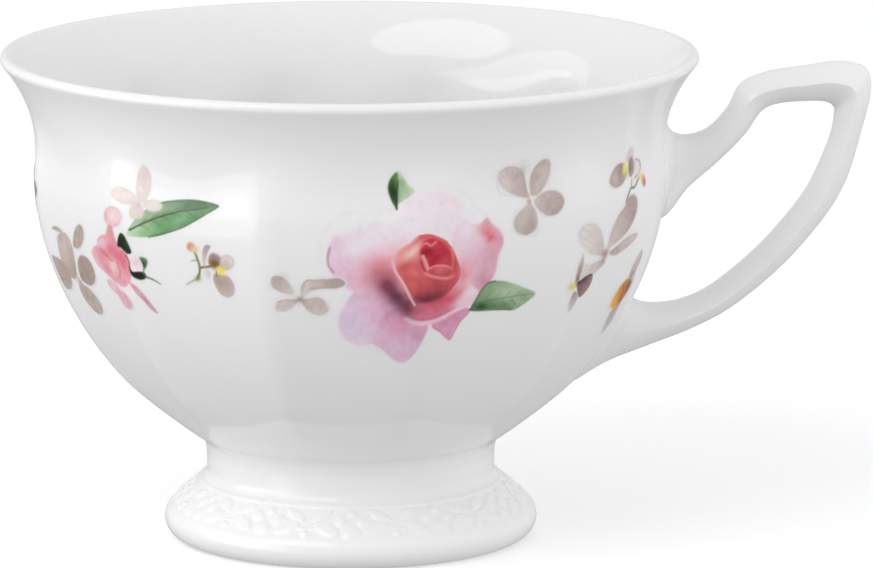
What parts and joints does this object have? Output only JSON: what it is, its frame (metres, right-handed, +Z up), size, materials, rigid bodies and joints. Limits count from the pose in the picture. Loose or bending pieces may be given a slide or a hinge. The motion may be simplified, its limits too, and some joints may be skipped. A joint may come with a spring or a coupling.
{
  "type": "teacup",
  "caption": "Footed porcelain teacup with a softly many-sided bowl, flared lip, angular handle, moulded foot border and small printed garden flowers",
  "frame": {"origin": "middle of the foot, on the table", "axes": "+Z up, +X along the handle, -Y towards the main rose"},
  "size_m": [0.1253, 0.1002, 0.071],
  "materials": {
    "porcelain": "gloss",
    "slip": "gloss",
    "rose_print": "gloss",
    "blossom_print": "gloss",
    "viola_print": "gloss"
  },
  "bodies": {
    "root": {"bowl": "porcelain", "foot": "porcelain", "handle": "porcelain", "foot_slip_joint": "slip", "handle_upper_slip_joint": "slip", "handle_lower_slip_joint": "slip", "front_main_rose": "rose_print", "front_left_blossom": "blossom_print", "front_right_blossom": "blossom_print", "front_small_viola": "viola_print", "front_side_rose": "rose_print", "front_left_blossoms": "blossom_print", "front_handle_spray": "viola_print", "side_viola": "viola_print", "back_main_rose": "rose_print", "back_left_blossom": "blossom_print", "back_right_blossom": "blossom_print", "back_small_viola": "viola_print", "back_side_rose": "rose_print", "back_left_blossoms": "blossom_print", "back_handle_spray": "viola_print"}
  },
  "joints": []
}
